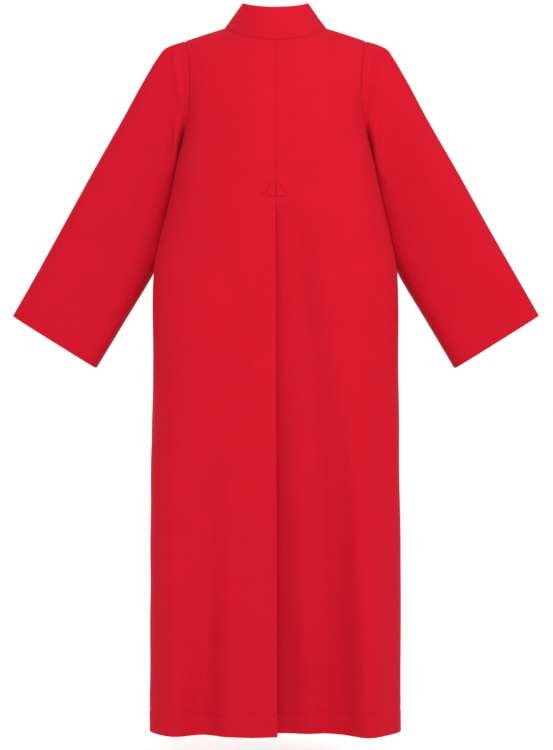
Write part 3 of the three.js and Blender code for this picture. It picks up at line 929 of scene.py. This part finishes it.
# %% [markdown]
# ## Stitching
# Three kinds of stitching show. Each buttonhole has a worked edge, a ring of close stitches. The
# top of the pleat is held by an arrowhead tack, a small stitched triangle that keeps the seam
# from tearing open. The hem is caught by blind stitches, a pinprick every few millimetres. The
# first two are a ribbed cord carried along a path on the cloth.


# %% A worked edge along a path
def lengths_along(path):
    """The length of a path from its start to each of its points."""
    return np.linalg.norm(np.diff(path, axis=0, prepend=path[:1]), axis=1).cumsum()


def worked_edge(path, normals, width, height, rib, closed=True):
    """A half-round cord along a path: width and height times a circle, with the height and
    width waving once for each stitch, every `rib` millimetres."""
    ahead = np.roll(path, -1, axis=0) - np.roll(path, 1, axis=0)
    if not closed:
        ahead = np.gradient(path, axis=0)
    across = unit(np.cross(normals, ahead))
    steps = lengths_along(path)
    wave = 1 + 0.16 * np.sin(steps * 2 * np.pi / rib)
    taper = np.ones(len(path))
    if not closed:
        taper = np.sqrt(np.clip(np.minimum(steps, steps[-1] - steps) / width, 0.02, 1))
    turn = np.linspace(0, 2 * np.pi, 9)[None, :, None]
    size = (wave * taper)[:, None, None]
    ring = across[:, None] * np.cos(turn) * width / 2 + normals[:, None] * np.sin(turn) * height / 2
    grid = path[:, None] + ring * size
    return np.concatenate([grid, grid[:1]]) if closed else grid


def resample(points, step):
    """Points every `step` along a line through the given ones."""
    points = np.asarray(points, float)
    run = lengths_along(points)
    at = np.linspace(0, run[-1], max(int(run[-1] / step), 2))
    return np.stack([np.interp(at, run, column) for column in points.T], -1)


def join(name, grids):
    """Several grids of the same kind as one piece."""
    points, faces, uvs, count = [], [], [], 0
    for grid in grids:
        faces.append(grid_faces(*grid.shape[:2], 1) + count)
        points.append(grid.reshape(-1, 3))
        uvs.append(cloth_lengths(grid).reshape(-1, 2))
        count += len(points[-1])
    piece = put(name, np.concatenate(points), np.concatenate(faces), np.concatenate(uvs))
    weld(piece)
    print(f"{name}: {len(grids)} parts, {sum(map(len, faces))} faces")
    return piece


# %% Buttonholes
def buttonhole(index):
    """A flat ring, about 18 mm by 4 mm, round the button's shank and to one side of it."""
    z = BUTTON["first"] - index * BUTTON["pitch"]
    turn = np.linspace(0, 2 * np.pi, 180, endpoint=False)
    x = 5.5 + 7.6 * np.cos(turn) + 1.4 * signed_power(np.cos(turn), 0.4)
    rise = 1.25 * signed_power(np.sin(turn), 0.6)
    spots = [on_cloth("front_left", a, z + b) for a, b in zip(x, rise)]
    normals = np.array([spot[1] for spot in spots])
    path = np.array([spot[0] for spot in spots]) + normals * (CLOTH / 2 + 0.1)
    return worked_edge(path, normals, 1.1, 0.8, 0.55)


buttonholes = join("buttonholes", [buttonhole(index) for index in range(BUTTON["count"])])


# %% The arrowhead tack
ARROWHEAD = [  # distance to the wearer's left, and height
    (1.5, -314), (9, -320), (15, -329), (19, -336.5), (26, -342), (14, -343.5), (-6, -345),
    (-20, -344.5), (-22, -340), (-16, -333), (-9, -323), (-3, -316.5), (1.5, -314),
]


def back_spot(x, z):
    """A point of the back on either side of the centre seam, and its normal."""
    name = "back_left" if x >= 0 else "back_right"
    return on_cloth(name, max(abs(x), 1.2), z)


def back_line(points, step):
    """A path over the back's cloth, and its normals. Beside the centre seam, where the cloth
    dips, the path runs straight across."""
    points = resample(points, step)
    path, normals = (np.array(column) for column in zip(*(back_spot(x, z) for x, z in points)))
    path[:, 0] = points[:, 0]
    return path + normals * (CLOTH / 2 + 0.05), unit(normals)


STEM = [(0.6, -320), (0.4, -342)]
outline, outline_normals = back_line(ARROWHEAD, 0.16)
stem, stem_normals = back_line(STEM, 0.16)
arrowhead = join(
    "arrowhead_tack",
    [
        worked_edge(outline[:-1], outline_normals[:-1], 1.5, 0.9, 0.6),
        worked_edge(stem, stem_normals, 1.2, 0.7, 0.6, closed=False),
    ],
)


# %% The hem's blind stitches
def stitch_grid():
    """A short thread, 1.4 mm long and half a millimetre thick, tapered to both ends."""
    along = np.linspace(-1, 1, 7)
    turn = np.linspace(0, 2 * np.pi, 7)
    thick = 0.28 * np.sqrt(1 - along**2 + 0.002)
    x = 0.7 * along[:, None] + 0 * turn
    return np.stack([x, thick[:, None] * np.cos(turn), thick[:, None] * np.sin(turn)], -1)


def hem_stitches(name):
    """A stitch every 8 mm or so along a panel, at the top of the turned-up hem."""
    draw = np.random.default_rng(len(name))
    places = np.arange(10, 243, 8.0)
    thread = stitch_grid()
    grids = []
    shifts, leans = draw.normal(0, 0.8, len(places)), draw.normal(28, 7, len(places))
    for x, shift, lean in zip(places, shifts, leans):
        z = hem_line(x * PANELS[name][1]) + shift * 0.5
        point, normal = on_cloth(name, x + shift, z)
        grids.append(thread @ upright(point, normal, lean) + point + normal * (CLOTH / 2))
    return grids


stitches = join("hem_stitches", [grid for name in PANELS for grid in hem_stitches(name)])

# %% [markdown]
# ## Shader maths in Python
# A material is a graph of nodes. Building it by hand takes many lines, so one small class wraps a
# socket: arithmetic on it adds Math nodes, and its `node` method adds any other node.


# %% The socket wrapper
class Socket:
    """An output socket whose arithmetic adds Math nodes to its material."""

    def __init__(self, tree, socket=None):
        self.tree, self.socket = tree, socket

    def node(self, kind, settings=None, inputs=None, output=0):
        """Adds a node, sets its settings first and then its inputs, and returns one output."""
        made = self.tree.nodes.new(kind)
        for name, value in (settings or {}).items():
            setattr(made, name, value)
        for name, value in (inputs or {}).items():
            if isinstance(value, Socket):
                self.tree.links.new(value.socket, made.inputs[name])
            else:
                made.inputs[name].default_value = value
        return Socket(self.tree, made.outputs[output]) if made.outputs else made

    def math(self, operation, first, second=0.0):
        """One Math node."""
        return self.node("ShaderNodeMath", {"operation": operation}, {0: first, 1: second})

    def __add__(self, other):
        return self.math("ADD", self, other)

    __radd__ = __add__

    def __mul__(self, other):
        return self.math("MULTIPLY", self, other)

    __rmul__ = __mul__

    def __sub__(self, other):
        return self.math("SUBTRACT", self, other)

    def __rsub__(self, other):
        return self.math("SUBTRACT", other, self)


# %% [markdown]
# ## The scarlet cloth
# The robe is a plain woven suiting, matt, with hardly any sheen. Four things make it read as
# cloth. The weave is a product of two sines on the UV map, one for warp
# and one for weft, at 20 threads a centimetre. Slubs, threads a little thicker than the rest,
# stretch a noise along each direction. A fine mottle varies the colour from thread to thread, and
# a broad one from hand to hand. The varying values feed only the colour, roughness and bump.

# %% Make the materials
THREADS = 2000  # threads for each metre of cloth


def cloth_material(name, colour, shade, weave=0.16, sheen=0.01):
    """Plain woven cloth, from `shade` in its dark threads to `colour` in its light ones."""
    material = bpy.data.materials.new(name)
    material.use_nodes = True
    tree = material.node_tree
    tree.nodes.clear()
    wire = Socket(tree)
    uv = wire.node("ShaderNodeUVMap", {"uv_map": "cloth"})
    place = wire.node("ShaderNodeTexCoord", output="Object")
    u = wire.node("ShaderNodeSeparateXYZ", None, {"Vector": uv}, "X")
    v = wire.node("ShaderNodeSeparateXYZ", None, {"Vector": uv}, "Y")
    warp = wire.math("SINE", u * (np.pi * THREADS))
    weft = wire.math("SINE", v * (np.pi * THREADS))

    def noise(vector, scale, detail=2.0, roughness=0.5):
        sizes = {"Vector": vector, "Scale": scale, "Detail": detail, "Roughness": roughness}
        return wire.node("ShaderNodeTexNoise", None, sizes)

    def stretched(scale):
        sizes = {"Vector": uv, "Scale": scale}
        return wire.node("ShaderNodeMapping", None, sizes)

    slubs = noise(stretched((900, 60, 1)), 1.0) + noise(stretched((60, 900, 1)), 1.0)
    fine, broad = noise(place, 300.0, 3.0, 0.7), noise(place, 16.0, 2.0)
    tone = fine * 1.9 + slubs * 0.4 + broad * 0.5 - 1.1
    tone = wire.math("MINIMUM", wire.math("MAXIMUM", tone, 0.0), 1.0)
    mixed = wire.node(
        "ShaderNodeMix", {"data_type": "RGBA"}, {"Factor": tone, 6: (*shade, 1), 7: (*colour, 1)}, 2
    )
    height = warp * weft * 0.5 + slubs * 0.8 + fine * 0.5
    bump = wire.node(
        "ShaderNodeBump", None, {"Strength": weave, "Distance": 0.00012, "Height": height}
    )
    rough = fine * 0.16 + 0.72
    shader = wire.node(
        "ShaderNodeBsdfPrincipled",
        None,
        {
            "Base Color": mixed, "Roughness": rough, "Normal": bump, "Specular IOR Level": 0.05,
            "Sheen Weight": sheen, "Sheen Roughness": 0.45, "Sheen Tint": (1.0, 0.62, 0.6, 1),
        },
    )
    wire.node("ShaderNodeOutputMaterial", None, {"Surface": shader})
    return material


scarlet = cloth_material("scarlet_cloth", (0.455, 0.0048, 0.0165), (0.375, 0.0036, 0.0135))
covered = cloth_material("button_cloth", (0.43, 0.0048, 0.0165), (0.355, 0.0036, 0.0135), 0.2)
thread = cloth_material(
    "scarlet_thread", (0.42, 0.0040, 0.0150), (0.345, 0.0030, 0.0120), weave=0.3, sheen=0.02
)

# %% [markdown]
# ## Dress the frame
# Every piece rides on the one body and takes its material, and the CAD nodes that it stands for
# are hidden.


def dress(piece, material, slot, *nodes):
    """Gives a piece its material and body, and hides the CAD nodes that it stands for. The slot is
    not used.
    """
    piece.data.materials.append(material)
    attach(piece, "root")
    if nodes:
        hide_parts(*nodes)


for name, piece in panels.items():
    dress(piece, scarlet, "cloth", name)
for side, word in ((LEFT, "left"), (RIGHT, "right")):
    dress(sleeves[side], scarlet, "cloth", f"sleeve_{word}_back", f"sleeve_{word}_front")
dress(collar, scarlet, "cloth", "collar")
for index, piece in enumerate(buttons):
    dress(piece, covered, "button", f"button_{index + 1:02d}")
for piece in (buttonholes, arrowhead, stitches):
    dress(piece, thread, "cloth")

# %% [markdown]
# ## Light, floor and camera
# The garment hangs in bright, even light. A soft key stands behind it, above and to one side, and
# models the folds. A broad source nearer the viewer and a white sky soften the shadows, and a
# third lights the front. The floor is pale and plain, a hand's width below the hem.

# %% Floor and light
FLOOR_GAP, FLOOR_HALF = 0.09, 40  # metres


def plain_material(name, colour):
    """A matt paint."""
    material = bpy.data.materials.new(name)
    material.use_nodes = True
    shader = material.node_tree.nodes["Principled BSDF"]
    shader.inputs["Base Color"].default_value = (*colour, 1)
    shader.inputs["Roughness"].default_value = 0.9
    return material


floor_z = cad_box[0].z - FLOOR_GAP
corners = [(-1, -1), (1, -1), (1, 1), (-1, 1)]
corners = [(x * FLOOR_HALF, y * FLOOR_HALF, floor_z) for x, y in corners]
floor = put("floor", np.array(corners) * 1000, np.array([[0, 1, 2, 3]]), np.zeros((4, 2)))
floor.data.materials.append(plain_material("pale_floor", (0.97, 0.97, 0.97)))

world = bpy.data.worlds.new("studio")
bpy.context.scene.world = world
world.use_nodes = True
world.node_tree.nodes["Background"].inputs["Color"].default_value = (1, 1, 1, 1)
world.node_tree.nodes["Background"].inputs["Strength"].default_value = 1.06


def softbox(name, place, target, size, power):
    """A square area light that faces a point."""
    light = bpy.data.lights.new(name, "AREA")
    light.size, light.energy = size, power
    lamp = bpy.data.objects.new(name, light)
    lamp.location = place
    lamp.rotation_euler = (Vector(target) - Vector(place)).to_track_quat("-Z", "Y").to_euler()
    bpy.context.scene.collection.objects.link(lamp)


softbox("key", (-1.5, 2.1, 1.3), (0, 0, -0.1), 1.0, 28)
softbox("broad_fill", (0, 3.5, 0.9), (0, 0, -0.2), 1.5, 52)
softbox("front_fill", (2.4, -3.4, 1.2), (0, 0, -0.6), 2.2, 30)

# %% The camera
camera = bpy.data.cameras.new("camera")
camera.sensor_width, camera.lens = 36, 96
camera.clip_end = 200
viewer = bpy.data.objects.new("camera", camera)
viewer.location = (-0.002, 4.0, -0.692)
viewer.rotation_euler = (np.pi / 2, 0, np.pi)
bpy.context.scene.collection.objects.link(viewer)
bpy.context.scene.camera = viewer
bpy.context.scene.view_settings.view_transform = "Standard"
